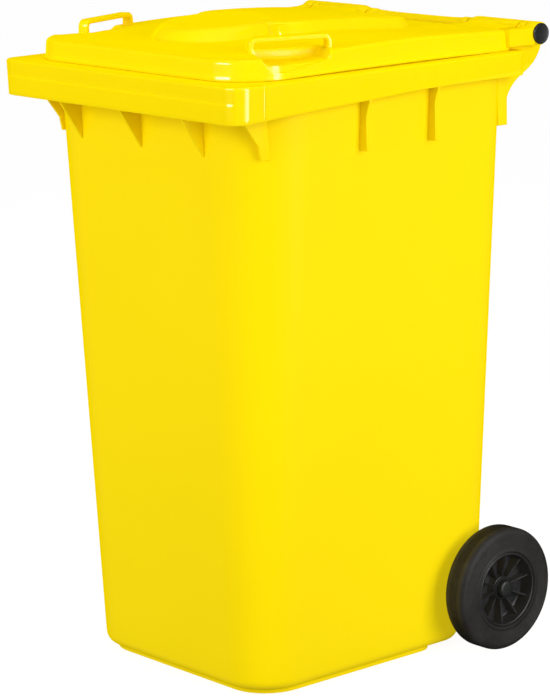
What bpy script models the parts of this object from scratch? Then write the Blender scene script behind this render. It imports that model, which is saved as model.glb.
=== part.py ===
"""Two-wheeled refuse bin of the 240-litre class.

A tapered plastic tub with a deep front ledge for a lifting comb, a hinged lid on two pins,
and two rubber-tyred wheels on a steel axle. The front faces -Y, up is +Z, and the origin is
the centre of the bounding box's base. Lengths are in metres.
"""

from math import cos, pi, sin

import bmesh
import bpy
from mathutils import Matrix, Vector

# Overall sizes
RIM_WIDTH = 0.580
DEPTH = 0.666
RIM_Z = 0.964
GAP = 0.0003

# Walls
TUB_WALL = 0.0045
LID_WALL = 0.0035

# The tub's outer wall low down and just below the rim:
# height, half width, front and rear (from the ledge's face), front and rear corner radius
WALL_LOW = (0.040, 0.220, 0.080, 0.575, 0.080, 0.060)
WALL_HIGH = (0.907, 0.266, 0.051, 0.588, 0.109, 0.056)
FLOOR_Z = 0.008
STEP_TOP_Z = 0.180
STEP_RADIUS = 0.010

# The rim and its skirt
RIM_REAR = 0.602
RIM_FRONT_RADIUS = 0.030
RIM_REAR_RADIUS = 0.025
LEDGE_BOTTOM_Z = 0.907
SIDE_BOTTOM_Z = 0.927
LIP_TOP_Z = 0.972
RIB_BOTTOM_Z = 0.845

# The hinge and the handle, both on one axis
AXIS_Y = 0.640
AXIS_Z = 0.986
BOSS_RADIUS = 0.0185
PIN_RADIUS = 0.008
EAR_X = (0.238, 0.2525)
BRACKET_X = (0.104, 0.118)
ARM_X = (0.254, 0.269)
BARREL_X = (0.121, 0.2365)
PIN_INNER_X = 0.150
HANDLE_RADIUS = 0.0125

# The lid
LID_HALF_WIDTH = 0.269
LID_FRONT = 0.032
LID_REAR = 0.586
LID_FRONT_RADIUS = 0.085
LID_REAR_RADIUS = 0.020
LID_BOTTOM_Z = RIM_Z + 0.0006
LID_EDGE_Z = 0.998
LID_TOP_Z = 1.003
DISC_Y = 0.188
DISC_RADIUS = 0.088
DISC_Z = 1.031
DISC_SLOPE = 0.05
DISC_SEGMENTS = 40

# The grips: the bar's front and rear ends on the right side, in plan
GRIP_FRONT = Vector((0.202, 0.107))
GRIP_REAR = Vector((0.240, 0.218))
GRIP_TOP_Z = 1.022
GRIP_THICKNESS = 0.0075
GRIP_WIDTH = 0.016
POCKET_FLOOR_Z = 0.9875

# The wheels and the axle
WHEEL_RADIUS = 0.100
WHEEL_Y = 0.543
TYRE_X = (0.2440, 0.2930)
TYRE_INNER_RADIUS = 0.0612
AXLE_RADIUS = 0.010
AXLE_END_X = 0.2865
HUB_X = (0.2196, 0.2795)
HUB_RADIUS = 0.021
SPOKE_COUNT = 10
SPOKE_X = (0.2530, 0.2795)
SPOKE_THICKNESS = 0.0032
SEAT_X = ((0.203, 0.217), (0.070, 0.080))

CORNER_STEPS = 6
END_STEPS = 3
SIDE_STEPS = 5
ROUND_STEPS = 32
TYRE_STEPS = 48
WASHER_STEPS = 24

model = bpy.data.collections.new("refuse_bin")
helpers = bpy.data.collections.new("cutters")


def start_clean():
    """Empty the scene and link the two collections."""
    for leftover in list(bpy.data.objects):
        bpy.data.objects.remove(leftover, do_unlink=True)
    bpy.context.scene.collection.children.link(model)
    bpy.context.scene.collection.children.link(helpers)


def make_material(name, colour, roughness, metallic=0.0):
    """Make one Principled material."""
    material = bpy.data.materials.new(name)
    material.use_nodes = True
    shader = material.node_tree.nodes["Principled BSDF"]
    shader.inputs["Base Color"].default_value = (*colour, 1.0)
    shader.inputs["Roughness"].default_value = roughness
    shader.inputs["Metallic"].default_value = metallic
    return material


def back(distance):
    """Turn a distance behind the ledge's front face into a Y coordinate."""
    return distance - DEPTH / 2


def add_mesh(name, bm, material=None):
    """Turn a bmesh into an object with outward faces: a shown one with a material, or else a helper."""
    bmesh.ops.recalc_face_normals(bm, faces=bm.faces)
    mesh = bpy.data.meshes.new(name)
    bm.to_mesh(mesh)
    bm.free()
    thing = bpy.data.objects.new(name, mesh)
    model.objects.link(thing)
    if material:
        mesh.materials.append(material)
    else:
        thing.hide_render = True
        thing.display_type = "WIRE"
    return thing


def shade_round(thing, angle=0.6):
    """Shade smooth, with creases kept sharp."""
    thing.data.shade_smooth()
    thing.data.set_sharp_from_angle(angle=angle)


def outline(half_width, front, rear, front_radius, rear_radius):
    """Points round a rectangle with rounded corners, in plan, anticlockwise from its front right one."""
    corners = (
        (half_width - front_radius, front + front_radius, front_radius, -pi / 2, SIDE_STEPS),
        (half_width - rear_radius, rear - rear_radius, rear_radius, 0.0, END_STEPS),
        (rear_radius - half_width, rear - rear_radius, rear_radius, pi / 2, SIDE_STEPS),
        (front_radius - half_width, front + front_radius, front_radius, pi, END_STEPS),
    )
    points = []
    arcs = []
    for centre_x, centre_y, radius, start, steps in corners:
        turn = [start + pi / 2 * i / CORNER_STEPS for i in range(CORNER_STEPS + 1)]
        arcs.append(([(centre_x + radius * cos(a), centre_y + radius * sin(a)) for a in turn], steps))
    for number, (arc, steps) in enumerate(arcs):
        points += arc
        first = Vector(arc[-1])
        last = Vector(arcs[(number + 1) % len(arcs)][0][0])
        points += [tuple(first.lerp(last, i / steps)) for i in range(1, steps)]
    return points


def ring(sizes, z):
    """One loft section: an outline at height z, which is a number or a function of x and distance."""
    height = z if callable(z) else (lambda x, distance: z)
    return [(x, back(y), height(x, y)) for x, y in outline(*sizes)]


def loft(name, rings, material=None, ring_shaped=False):
    """Join sections into a closed body, with its ends capped or, where ring-shaped, joined."""
    bm = bmesh.new()
    rows = [[bm.verts.new(point) for point in points] for points in rings]
    pairs = list(zip(rows, rows[1:] + rows[:1])) if ring_shaped else list(zip(rows, rows[1:]))
    for lower, upper in pairs:
        count = len(lower)
        for i in range(count):
            j = (i + 1) % count
            bm.faces.new((lower[i], lower[j], upper[j], upper[i]))
    if not ring_shaped:
        bm.faces.new(rows[0])
        bm.faces.new(rows[-1])
    return add_mesh(name, bm, material)


def prism(name, points, along, low, high):
    """Extrude a flat outline: (y, z) points along X, (x, z) along Y, or (x, y) along Z."""
    place = {
        "X": lambda a, b, t: (t, back(a), b),
        "Y": lambda a, b, t: (a, back(t), b),
        "Z": lambda a, b, t: (a, back(b), t),
    }[along]
    bm = bmesh.new()
    face = bm.faces.new([bm.verts.new(place(a, b, low)) for a, b in points])
    shift = Vector(place(0, 0, high)) - Vector(place(0, 0, low))
    grown = bmesh.ops.extrude_face_region(bm, geom=[face])
    moved = [part for part in grown["geom"] if isinstance(part, bmesh.types.BMVert)]
    bmesh.ops.translate(bm, verts=moved, vec=shift)
    return add_mesh(name, bm)


def rod(name, radius, low_x, high_x, distance, z, material=None):
    """A round bar along X."""
    bm = bmesh.new()
    bmesh.ops.create_cone(bm, cap_ends=True, segments=ROUND_STEPS, radius1=radius, radius2=radius,
                          depth=high_x - low_x)
    bmesh.ops.rotate(bm, verts=bm.verts, matrix=Matrix.Rotation(pi / 2, 3, "Y"))
    bmesh.ops.translate(bm, verts=bm.verts, vec=((low_x + high_x) / 2, back(distance), z))
    return add_mesh(name, bm, material)


def turned(name, profile, side, distance, z, material, closed=False, steps=ROUND_STEPS):
    """A body turned about an axis along X, from (radius, |x|) points with the outermost x first."""
    bm = bmesh.new()
    points = [bm.verts.new((radius, 0.0, x)) for radius, x in profile]
    for first, second in zip(points, points[1:] + points[:1] if closed else points[1:]):
        bm.edges.new((first, second))
    mesh = bpy.data.meshes.new(name)
    bm.to_mesh(mesh)
    bm.free()
    mesh.materials.append(material)
    thing = bpy.data.objects.new(name, mesh)
    model.objects.link(thing)
    screw = thing.modifiers.new("turn", "SCREW")
    screw.axis = "Z"
    screw.steps = steps
    screw.render_steps = steps
    screw.use_merge_vertices = True
    screw.merge_threshold = 0.00001
    screw.use_smooth_shade = True
    thing.location = (0.0, back(distance), z)
    thing.rotation_euler = (0.0, side * pi / 2, 0.0)
    return thing


def combine(thing, operation, operands):
    """Join or cut a body with a group of helpers, kept in a collection of their own."""
    group = bpy.data.collections.new(f"{thing.name}_{operation.lower()}")
    helpers.children.link(group)
    for operand in operands:
        for owner in list(operand.users_collection):
            owner.objects.unlink(operand)
        group.objects.link(operand)
    boolean = thing.modifiers.new(operation.lower(), "BOOLEAN")
    boolean.operation = operation
    boolean.solver = "EXACT"
    boolean.operand_type = "COLLECTION"
    boolean.collection = group


def arc(centre, radius, start, end, steps):
    """Points along an arc, angles in degrees."""
    angles = [(start + (end - start) * i / steps) * pi / 180 for i in range(steps + 1)]
    return [(centre[0] + radius * cos(a), centre[1] + radius * sin(a)) for a in angles]


def wall(z, inset=0.0):
    """The tub's wall sizes at one height, moved inwards by an inset."""
    share = (z - WALL_LOW[0]) / (WALL_HIGH[0] - WALL_LOW[0])
    half, front, rear, front_radius, rear_radius = (
        low + (high - low) * share for low, high in zip(WALL_LOW[1:], WALL_HIGH[1:]))
    return half - inset, front + inset, rear - inset, front_radius - inset, rear_radius - inset


def step(z, rear, inset=0.0):
    """The section at one height below the rear step, where the rear wall stands further forward."""
    half, front, _, front_radius, _ = wall(z, inset)
    return half, front, rear - inset, front_radius, STEP_RADIUS - inset


def rim(inset=0.0):
    """The rim's plan outline, moved inwards by an inset."""
    return (RIM_WIDTH / 2 - inset, inset, RIM_REAR - inset, RIM_FRONT_RADIUS - inset,
            RIM_REAR_RADIUS - inset)


def skirt_bottom(x, distance):
    """The skirt's lower edge: deep along the front, shallower towards the rear."""
    front_end, rear_start = 0.080, 0.450
    share = min(max((distance - front_end) / (rear_start - front_end), 0.0), 1.0)
    return LEDGE_BOTTOM_Z + (SIDE_BOTTOM_Z - LEDGE_BOTTOM_Z) * share


def tub_shell(material):
    """The tub with its rim: one loft, from the outer floor up, over the rim and down inside."""
    flange_z = RIM_Z - TUB_WALL
    skirt = TUB_WALL
    lip_outer = (0.2625, 0.050, 0.579, 0.106, 0.050)
    lip_inner = (0.2580, 0.0545, 0.5745, 0.1015, 0.0455)
    outside = [
        ring((0.199, 0.102, 0.478, 0.066, 0.040), FLOOR_Z),
        ring((0.210, 0.091, 0.492, 0.076, 0.040), 0.0125),
        ring(step(0.026, 0.507, 0.001), 0.026),
        ring(step(0.035, 0.508), 0.035),
        ring(step(0.125, 0.512), 0.125),
        ring(step(0.165, 0.572), 0.165),
        ring(wall(STEP_TOP_Z), STEP_TOP_Z),
        ring(wall(0.500), 0.500),
        ring(wall(WALL_HIGH[0]), WALL_HIGH[0]),
        ring((0.2665, 0.050, 0.5835, 0.110, 0.0545), flange_z),
        ring(rim(skirt), flange_z),
        ring(rim(skirt), skirt_bottom),
        ring(rim(), skirt_bottom),
        ring(rim(), RIM_Z - 0.003),
        ring(rim(0.003), RIM_Z),
        ring(lip_outer, RIM_Z),
        ring(lip_outer, LIP_TOP_Z),
        ring(lip_inner, LIP_TOP_Z),
        ring(wall(WALL_HIGH[0], TUB_WALL), WALL_HIGH[0]),
        ring(wall(0.500, TUB_WALL), 0.500),
        ring(wall(STEP_TOP_Z + 0.002, TUB_WALL), STEP_TOP_Z + 0.002),
        ring(step(0.168, 0.5705, TUB_WALL), 0.168),
        ring(step(0.128, 0.512, TUB_WALL), 0.128),
        ring(step(0.035, 0.508, TUB_WALL), 0.035),
        ring(step(0.024, 0.507, 0.009), 0.024),
        ring((0.203, 0.098, 0.480, 0.070, 0.036), FLOOR_Z + TUB_WALL),
    ]
    return loft("body", outside, material)


def foot_ring():
    """The ring that the bin stands on, set in below the floor's rounded edge."""
    outer = (0.203, 0.0975, 0.468, 0.068, 0.034)
    inner = (0.193, 0.1075, 0.458, 0.058, 0.024)
    top_z = FLOOR_Z + 0.003
    rings = [ring(outer, 0.0), ring(outer, top_z), ring(inner, top_z), ring(inner, 0.0)]
    return loft("foot_ring", rings, ring_shaped=True)


def ledge_gussets():
    """Three triangular gussets under the front ledge, and one at each front corner."""
    thickness = 0.005
    top_z = RIM_Z - TUB_WALL + 0.001
    face = ((0.0025, top_z), (0.0025, 0.9235), (0.0515, RIB_BOTTOM_Z), (0.0555, RIB_BOTTOM_Z),
            (0.0525, top_z))
    plates = []
    for centre in (-0.149, 0.0, 0.149):
        plates.append(prism("gusset", face, "X", centre - thickness / 2, centre + thickness / 2))
    corner = ((0.012, top_z), (0.012, 0.943), (0.080, 0.866), (0.084, RIB_BOTTOM_Z),
              (0.1015, RIB_BOTTOM_Z), (0.0951, top_z))
    for side in (-1, 1):
        low, high = sorted((side * 0.240, side * 0.245))
        plates.append(prism("corner_gusset", corner, "X", low, high))
    return plates


def side_ribs():
    """Two upright ribs under the rim on each side."""
    plates = []
    for distance, rim_z in ((0.263, 0.917), (0.405, 0.924)):
        for side in (-1, 1):
            reach = ((0.2605, RIB_BOTTOM_Z), (0.2800, RIB_BOTTOM_Z), (0.2785, 0.893),
                     (0.2880, rim_z), (0.2880, rim_z + 0.012), (0.2632, rim_z + 0.012))
            points = [(side * x, z) for x, z in reach]
            plates.append(prism("side_rib", points, "Y", distance, distance + 0.005))
    return plates


def ear_outline(wall_root, rib_face):
    """The side view of a hinge ear: a rib up the tub's rear, flaring back to the hinge boss."""
    boss = arc((AXIS_Y, AXIS_Z), BOSS_RADIUS, -12, 160, 10)
    return [
        (wall_root, RIB_BOTTOM_Z),
        (rib_face, RIB_BOTTOM_Z),
        (rib_face, 0.888),
        (rib_face + 0.009, 0.901),
        (0.617, 0.918),
        (0.636, 0.929),
        (0.650, 0.940),
        (0.6595, 0.952),
        (0.6650, 0.963),
        (DEPTH, 0.975),
        *boss,
        (0.6185, 0.980),
        (0.6035, RIM_Z - 0.002),
        (wall_root, RIM_Z - 0.002),
    ]


def ears_and_handle():
    """Two outer ears, two inner brackets and the handle bar between them."""
    parts = []
    for side in (-1, 1):
        low, high = sorted((side * EAR_X[0], side * EAR_X[1]))
        parts.append(prism("ear", ear_outline(0.5675, 0.5890), "X", low, high))
        low, high = sorted((side * BRACKET_X[0], side * BRACKET_X[1]))
        parts.append(prism("bracket", ear_outline(0.5828, 0.6000), "X", low, high))
    reach = sum(BRACKET_X) / 2
    parts.append(rod("handle_bar", HANDLE_RADIUS, -reach, reach, AXIS_Y, AXIS_Z))
    return parts


def axle_seats():
    """Plates under the tub's rear step, which carry the axle."""
    side_view = ((0.5055, 0.040), (0.520, 0.040), (0.566, 0.078), (0.572, 0.100), (0.566, 0.163),
                 (0.5090, 0.127))
    plates = []
    for pair in SEAT_X:
        for side in (-1, 1):
            low, high = sorted((side * pair[0], side * pair[1]))
            plates.append(prism("axle_seat", side_view, "X", low, high))
    return plates


def body(material):
    """The tub moulding with everything moulded on it, its pin bores and the ledge's panel."""
    tub = tub_shell(material)
    added = [foot_ring(), *ledge_gussets(), *side_ribs(), *ears_and_handle(), *axle_seats()]
    combine(tub, "UNION", added)
    half, floor, radius = 0.283, 0.936, 0.008
    corner = arc((half - radius, floor + radius), radius, 0, -90, 4)
    right = [(half, RIM_Z + 0.010), *corner]
    panel = right + [(-x, z) for x, z in reversed(right)]
    cuts = [prism("ledge_panel", panel, "Y", -0.010, 0.002)]
    for side in (-1, 1):
        low, high = sorted((side * (EAR_X[0] - 0.005), side * (EAR_X[1] + 0.005)))
        cuts.append(rod("ear_bore", PIN_RADIUS + GAP, low, high, AXIS_Y, AXIS_Z))
    cuts.append(rod("axle_bore", AXLE_RADIUS + GAP, -0.230, 0.230, WHEEL_Y, WHEEL_RADIUS))
    combine(tub, "DIFFERENCE", cuts)
    return tub


def lid_plan(inset=0.0):
    """The lid's plan outline, moved inwards by an inset."""
    return (LID_HALF_WIDTH - inset, LID_FRONT + inset, LID_REAR - inset, LID_FRONT_RADIUS - inset,
            LID_REAR_RADIUS - inset)


def lid_shell(material):
    """The lid's skirt and top plate: one loft from the outer top, round the skirt and up inside."""
    crown = (0.150, 0.110, 0.480, 0.050, 0.012)
    rings = [
        ring(crown, LID_TOP_Z),
        ring(lid_plan(0.007), LID_EDGE_Z),
        ring(lid_plan(0.003), LID_EDGE_Z - 0.0025),
        ring(lid_plan(0.0015), LID_EDGE_Z - 0.008),
        ring(lid_plan(), LID_BOTTOM_Z),
        ring(lid_plan(LID_WALL), LID_BOTTOM_Z),
        ring(lid_plan(0.0015 + LID_WALL), LID_EDGE_Z - 0.008),
        ring(lid_plan(0.007), LID_EDGE_Z - LID_WALL),
        ring(crown, LID_TOP_Z - LID_WALL),
    ]
    return loft("lid", rings, material)


def disc(name, inset, low_z):
    """The round raised part of the lid, whose top rises slightly towards the rear."""
    bm = bmesh.new()
    bmesh.ops.create_cone(bm, cap_ends=True, segments=DISC_SEGMENTS, radius1=DISC_RADIUS - inset,
                          radius2=DISC_RADIUS - inset, depth=1.0)
    for vert in bm.verts:
        top = DISC_Z - inset + DISC_SLOPE * vert.co.y
        vert.co = (vert.co.x, vert.co.y + back(DISC_Y), top if vert.co.z > 0 else low_z)
    return add_mesh(name, bm)


def rear_panel(name, inset, low_z):
    """The raised rear part of the lid, whose top falls towards the rear."""
    foot = (0.130 - inset, 0.235 + inset, 0.509 - inset, 0.030, 0.030)
    head = (0.125 - inset, 0.240 + inset, 0.503 - inset, 0.028, 0.028)

    def top(x, distance):
        return 1.0285 - inset - 0.060 * (distance - 0.240)

    return loft(name, [ring(foot, low_z), ring(head, top)])


def grip_frame(side):
    """The grip's plan directions on one side: its front end, along the bar, and outwards."""
    mirror = Vector((side, 1.0))
    start = GRIP_FRONT * mirror
    along = (GRIP_REAR - GRIP_FRONT).normalized() * mirror
    outward = Vector((along.y, -along.x)) * side
    return start, along, outward


def grip(side):
    """A bridge-shaped bar over the finger pocket."""
    start, along, outward = grip_frame(side)
    length = (GRIP_REAR - GRIP_FRONT).length
    post = 0.010
    foot_z = LID_EDGE_Z - 0.002
    under_z = GRIP_TOP_Z - GRIP_THICKNESS
    side_view = [
        (-post, foot_z),
        (0.0, foot_z),
        (0.0, under_z - 0.004),
        (0.004, under_z),
        (length - 0.004, under_z),
        (length, under_z - 0.004),
        (length, foot_z),
        (length + post, foot_z),
        (length + post, GRIP_TOP_Z - 0.008),
        (length + post - 0.006, GRIP_TOP_Z),
        (0.006 - post, GRIP_TOP_Z),
        (-post, GRIP_TOP_Z - 0.008),
    ]
    bm = bmesh.new()
    rows = []
    for offset in (-GRIP_WIDTH / 2, GRIP_WIDTH / 2):
        plan = [start + along * s + outward * offset for s, z in side_view]
        rows.append([bm.verts.new((p.x, back(p.y), z)) for p, (s, z) in zip(plan, side_view)])
    for row in rows:
        bm.faces.new(row)
    for i in range(len(side_view)):
        j = (i + 1) % len(side_view)
        bm.faces.new((rows[0][i], rows[0][j], rows[1][j], rows[1][i]))
    return add_mesh("grip", bm)


def pocket(side, cut):
    """The finger pocket under a grip: its pan, or the space cut from it and through the skirt's top."""
    start, along, outward = grip_frame(side)
    length = (GRIP_REAR - GRIP_FRONT).length
    inset = 0.0035 if cut else 0.0
    front = start + along * (0.002 + inset) - outward * (0.020 - inset)
    rear = start + along * (length - 0.002 - inset) - outward * (0.020 - inset)
    outer_x = side * (0.275 if cut else 0.264)
    plan = [front, rear, Vector((outer_x, rear.y + 0.006)), Vector((outer_x, front.y + 0.004))]
    low, high = (POCKET_FLOOR_Z, 1.008) if cut else (POCKET_FLOOR_Z - LID_WALL, LID_EDGE_Z - 0.0015)
    return prism("pocket", [tuple(point) for point in plan], "Z", low, high)


def hinge_arm(side, low_x, high_x, root, low_z):
    """A hinge boss on the axis, joined to the lid's rear edge."""
    boss = arc((AXIS_Y, AXIS_Z), BOSS_RADIUS, -125, 100, 16)
    neck = ((0.615, LID_EDGE_Z + 0.001), (root, LID_EDGE_Z - 0.0035))
    points = [(root, low_z), (0.624, low_z), *boss, *neck]
    low, high = sorted((side * low_x, side * high_x))
    return prism("hinge_arm", points, "X", low, high)


def lid(material):
    """The lid moulding: shell, raised parts, grips and hinge."""
    cover = lid_shell(material)
    under = LID_TOP_Z - 2 * LID_WALL
    root = LID_TOP_Z - 0.002
    joined = [disc("disc", 0.0, root), rear_panel("rear_panel", 0.0, root)]
    cuts = [disc("disc_hollow", LID_WALL, under), rear_panel("panel_hollow", LID_WALL, under)]
    for side in (-1, 1):
        joined += [
            pocket(side, cut=False),
            grip(side),
            hinge_arm(side, *ARM_X, 0.574, 0.9750),
            hinge_arm(side, *BARREL_X, LID_REAR - 0.002, 0.9750),
        ]
        low, high = sorted((side * 0.145, side * 0.275))
        cuts += [pocket(side, cut=True), rod("pin_bore", PIN_RADIUS + GAP, low, high, AXIS_Y, AXIS_Z)]
    combine(cover, "UNION", joined)
    combine(cover, "DIFFERENCE", cuts)
    return cover


def hinge_pins(material):
    """A headed pin on each side, pushed in from outside."""
    head = ARM_X[1] + GAP
    profile = [
        (0.0, head + 0.0080),
        (0.0120, head + 0.0076),
        (0.0160, head + 0.0064),
        (0.0182, head + 0.0040),
        (0.0185, head),
        (PIN_RADIUS, head),
        (PIN_RADIUS, PIN_INNER_X + 0.002),
        (PIN_RADIUS - 0.002, PIN_INNER_X),
        (0.0, PIN_INNER_X),
    ]
    for side, word in ((-1, "left"), (1, "right")):
        turned(f"hinge_pin_{word}", profile, side, AXIS_Y, AXIS_Z, material)


def tyre_profile():
    """A solid tyre with rounded shoulders, outermost x first."""
    low, high = TYRE_X
    shoulder = 0.010
    outer = arc((WHEEL_RADIUS - shoulder, high - shoulder), shoulder, 90, 0, 5)
    inner = arc((WHEEL_RADIUS - shoulder, low + shoulder), shoulder, 0, -90, 5)
    return [(TYRE_INNER_RADIUS, high), *outer, *inner, (TYRE_INNER_RADIUS, low)]


def wheel_rim(name, side, material):
    """The wheel's plastic centre: a drum, a web, a long hub and deep spokes."""
    low, high = TYRE_X
    drum = TYRE_INNER_RADIUS - GAP
    bore = AXLE_RADIUS + GAP
    web = (0.266, 0.270)
    profile = [
        (drum - 0.004, high + 0.0003),
        (drum, high - 0.001),
        (drum, low + 0.001),
        (drum - 0.004, low),
        (drum - 0.004, web[0]),
        (HUB_RADIUS, web[0]),
        (HUB_RADIUS, HUB_X[0]),
        (bore, HUB_X[0]),
        (bore, HUB_X[1]),
        (HUB_RADIUS - 0.001, HUB_X[1]),
        (HUB_RADIUS, HUB_X[1] - 0.001),
        (HUB_RADIUS, web[1]),
        (drum - 0.004, web[1]),
    ]
    thing = turned(name, profile, side, WHEEL_Y, WHEEL_RADIUS, material, closed=True)
    spokes = []
    for number in range(SPOKE_COUNT):
        bm = bmesh.new()
        bmesh.ops.create_cube(bm, size=1.0)
        span = (bore + 0.004, drum - 0.002)
        size = (SPOKE_X[1] - SPOKE_X[0], SPOKE_THICKNESS, span[1] - span[0])
        bmesh.ops.scale(bm, verts=bm.verts, vec=size)
        bmesh.ops.translate(bm, verts=bm.verts, vec=(side * sum(SPOKE_X) / 2, 0.0, sum(span) / 2))
        bmesh.ops.rotate(bm, verts=bm.verts, matrix=Matrix.Rotation(2 * pi * number / SPOKE_COUNT, 3, "X"))
        bmesh.ops.translate(bm, verts=bm.verts, vec=(0.0, back(WHEEL_Y), WHEEL_RADIUS))
        spokes.append(add_mesh("spoke", bm))
    combine(thing, "UNION", spokes)
    return thing


def washer(name, inner, outer, low_x, high_x, side, material):
    """A flat ring on the axle."""
    profile = [(inner, high_x), (outer, high_x), (outer, low_x), (inner, low_x)]
    return turned(name, profile, side, WHEEL_Y, WHEEL_RADIUS, material, closed=True,
                  steps=WASHER_STEPS)


def axle_cap(name, side, low_x, material):
    """A domed cap, open inwards, over the axle's end and the lock ring."""
    inside = AXLE_END_X + GAP
    profile = [
        (0.0, inside + 0.0032),
        (0.0060, inside + 0.0030),
        (0.0110, inside + 0.0021),
        (0.0140, inside),
        (0.0150, inside - 0.002),
        (0.0152, low_x),
        (0.0139, low_x),
        (0.0139, inside - 0.0025),
        (0.0125, inside),
        (0.0, inside),
    ]
    return turned(name, profile, side, WHEEL_Y, WHEEL_RADIUS, material)


def wheels(rubber, black, steel):
    """Everything on the axle, on both sides."""
    bore = AXLE_RADIUS + GAP
    seat = SEAT_X[0][1] + GAP
    outer = HUB_X[1] + GAP
    ring_x = outer + 0.0015 + GAP
    for side, word in ((-1, "left"), (1, "right")):
        turned(f"{word}_tyre", tyre_profile(), side, WHEEL_Y, WHEEL_RADIUS, rubber, closed=True,
               steps=TYRE_STEPS)
        wheel_rim(f"{word}_wheel_rim", side, black)
        washer(f"{word}_inner_washer", bore, 0.018, seat, HUB_X[0] - GAP, side, steel)
        washer(f"{word}_outer_washer", bore, 0.018, outer, outer + 0.0015, side, steel)
        washer(f"{word}_axle_lock_ring", bore, 0.0136, ring_x, ring_x + 0.0012, side, steel)
        axle_cap(f"{word}_axle_cap", side, ring_x, steel)


def main():
    start_clean()
    yellow = make_material("yellow_plastic", (0.96, 0.76, 0.0), 0.38)
    black = make_material("black_plastic", (0.03, 0.03, 0.03), 0.45)
    rubber = make_material("black_rubber", (0.04, 0.038, 0.036), 0.7)
    steel = make_material("zinc_steel", (0.55, 0.57, 0.55), 0.4, metallic=1.0)
    body(yellow)
    lid(yellow)
    hinge_pins(black)
    rod("axle", AXLE_RADIUS, -AXLE_END_X, AXLE_END_X, WHEEL_Y, WHEEL_RADIUS, steel)
    wheels(rubber, black, steel)
    for thing in model.objects:
        if not thing.modifiers or thing.name in ("body", "lid"):
            shade_round(thing)


main()
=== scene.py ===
"""The looks of a two-wheeled refuse bin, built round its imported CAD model."""

from math import cos, pi, radians, sin

import bmesh
import bpy
import numpy as np
from mathutils import Matrix, Vector


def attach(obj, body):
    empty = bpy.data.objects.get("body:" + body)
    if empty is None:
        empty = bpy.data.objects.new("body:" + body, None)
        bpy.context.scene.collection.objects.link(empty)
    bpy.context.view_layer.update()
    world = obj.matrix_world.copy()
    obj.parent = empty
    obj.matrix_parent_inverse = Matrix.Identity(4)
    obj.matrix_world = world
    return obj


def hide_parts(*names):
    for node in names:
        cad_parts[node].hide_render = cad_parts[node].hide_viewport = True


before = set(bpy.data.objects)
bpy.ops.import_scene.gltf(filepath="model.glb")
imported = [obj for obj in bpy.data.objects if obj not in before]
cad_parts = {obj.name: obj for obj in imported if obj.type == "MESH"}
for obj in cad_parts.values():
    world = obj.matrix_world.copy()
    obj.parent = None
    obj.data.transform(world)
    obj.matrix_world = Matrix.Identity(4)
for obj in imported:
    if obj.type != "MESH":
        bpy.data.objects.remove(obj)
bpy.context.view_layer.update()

# Lengths in this script are in millimetres, and y is measured back from the ledge's front face.
DEPTH = 666.0
AXIS = (640.0, 986.0)  # the hinge's (y, z)
WHEEL = (543.0, 100.0)  # the wheels' (y, z)
DISC_Y = 205.0
DISC_LEAN = 0.07  # how fast the disc's top rises towards the rear
REAR_PANEL_TOP = 1026.6

CREASE_ANGLE = 0.6

# Where the polish of the lid and rim begins, in metres, and how it rises towards the rear.
POLISH_START, POLISH_FULL, POLISH_RISE = 0.9215, 0.9235, 0.045

# The white room as the object's walls, its highlights and the camera see it, and the floor.
ROOM_LIGHT, ROOM_GLOSS, ROOM_SEEN = 0.47, 0.003, 1.05
FLOOR_TONE, FLOOR_GLOW = 0.16, 0.91

# The camera at the viewing angle of the reference: direction, place in metres, and lens.
VIEW_AZIMUTH, VIEW_ELEVATION, VIEW_ROLL = 49.19, 11.87, -1.21
CAMERA_PLACE = (3.6032, -3.1006, 1.5256)
SENSOR_WIDTH = 36.0
FOCAL_LENGTH = 198.0261818
LENS_SHIFT = (-0.0266, -0.0438181818)


def place(x, y, z):
    """Turn a measured point in millimetres into world metres."""
    return (x / 1000.0, (y - DEPTH / 2) / 1000.0, z / 1000.0)


def smooth(t):
    """Ease from 0 to 1 with no slope at either end."""
    t = np.clip(t, 0.0, 1.0)
    return t * t * (3.0 - 2.0 * t)


def ease_curve(values, knots):
    """Read a smooth curve through knots at the given values."""
    xs = np.array([k[0] for k in knots], dtype=float)
    ys = np.array([k[1] for k in knots], dtype=float)
    slopes = np.gradient(ys, xs)
    v = np.clip(np.asarray(values, dtype=float), xs[0], xs[-1])
    i = np.clip(np.searchsorted(xs, v, side="right") - 1, 0, len(xs) - 2)
    h = xs[i + 1] - xs[i]
    t = (v - xs[i]) / h
    return ((2 * t**3 - 3 * t**2 + 1) * ys[i] + (t**3 - 2 * t**2 + t) * h * slopes[i]
            + (3 * t**2 - 2 * t**3) * ys[i + 1] + (t**3 - t**2) * h * slopes[i + 1])


def arc(cx, cy, r, start, end, steps):
    """Points along an arc, with angles in degrees."""
    turn = np.radians(np.linspace(start, end, steps + 1))
    return [(cx + r * cos(a), cy + r * sin(a)) for a in turn]


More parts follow.
